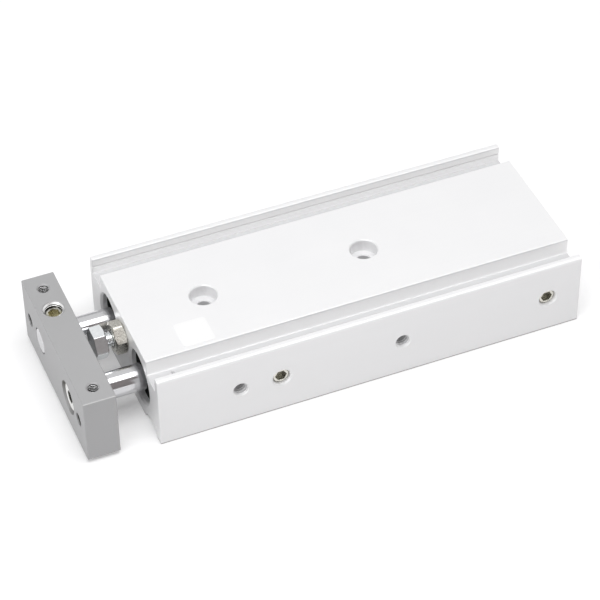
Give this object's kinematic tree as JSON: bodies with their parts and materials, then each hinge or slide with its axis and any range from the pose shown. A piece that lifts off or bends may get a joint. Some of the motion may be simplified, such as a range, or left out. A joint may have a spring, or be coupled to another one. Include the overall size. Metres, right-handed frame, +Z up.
{
  "type": "twin rod pneumatic cylinder",
  "caption": "Compact pneumatic cylinder: a flat slotted aluminium body whose parallel piston rods push a yoke plate forward, with tapped mounts, air ports and an adjustable stop bolt.",
  "frame": {"origin": "on the underside of the body, midway between the two mounting holes", "axes": "+X is the way the rods extend, +Y is the side with the plugged ports, +Z is up through the face with the sensor slots"},
  "size_m": [0.122, 0.046, 0.0193],
  "materials": {
    "body_aluminium": "clear satin anodised extrusion",
    "yoke_aluminium": "grey matte anodised plate",
    "rod_chrome": "ground and hard chromed",
    "nickel_steel": "nickel plated, slightly warm",
    "zinc_steel": "bright zinc plated",
    "spring_steel": "dark phosphated spring steel",
    "cap_aluminium": "turned and clear anodised",
    "bearing_bronze": "plain turned bearing bronze",
    "seal_rubber": "black nitrile rubber",
    "bumper_urethane": "amber brown urethane",
    "magnet_ferrite": "dark sintered ferrite",
    "ring_plastic": "filled brown plastic"
  },
  "bodies": {
    "cylinder": {"cylinder_body": "body_aluminium", "left_front_snap_ring": "spring_steel", "right_front_snap_ring": "spring_steel", "left_seal_washer": "cap_aluminium", "right_seal_washer": "cap_aluminium", "left_rod_seal": "seal_rubber", "right_rod_seal": "seal_rubber", "left_rod_bearing": "bearing_bronze", "right_rod_bearing": "bearing_bronze", "left_end_cap": "cap_aluminium", "right_end_cap": "cap_aluminium", "left_rear_bumper": "bumper_urethane", "right_rear_bumper": "bumper_urethane", "left_cap_o_ring": "seal_rubber", "right_cap_o_ring": "seal_rubber", "left_rear_snap_ring": "spring_steel", "right_rear_snap_ring": "spring_steel", "front_port_plug": "nickel_steel", "rear_port_plug": "nickel_steel", "lock_nut": "nickel_steel"},
    "carriage": {"yoke_plate": "yoke_aluminium", "left_front_bumper": "bumper_urethane", "right_front_bumper": "bumper_urethane", "left_magnet": "magnet_ferrite", "right_magnet": "magnet_ferrite", "left_piston": "cap_aluminium", "right_piston": "cap_aluminium", "left_wear_ring": "ring_plastic", "right_wear_ring": "ring_plastic", "left_piston_seal": "seal_rubber", "right_piston_seal": "seal_rubber", "left_piston_nut": "zinc_steel", "right_piston_nut": "zinc_steel", "left_piston_rod": "rod_chrome", "right_piston_rod": "rod_chrome", "rod_screw": "nickel_steel", "clamp_screw": "nickel_steel"},
    "stop_bolt": {"stop_bolt": "zinc_steel"}
  },
  "joints": [
    {"name": "rod_slide", "type": "slide", "parent": "cylinder", "child": "carriage", "axis": [1, 0, 0], "range_m": [0, 0.05]},
    {"name": "stop_adjust", "type": "slide", "parent": "cylinder", "child": "stop_bolt", "axis": [1, 0, 0], "range_m": [-0.0015, 0.0013]}
  ]
}
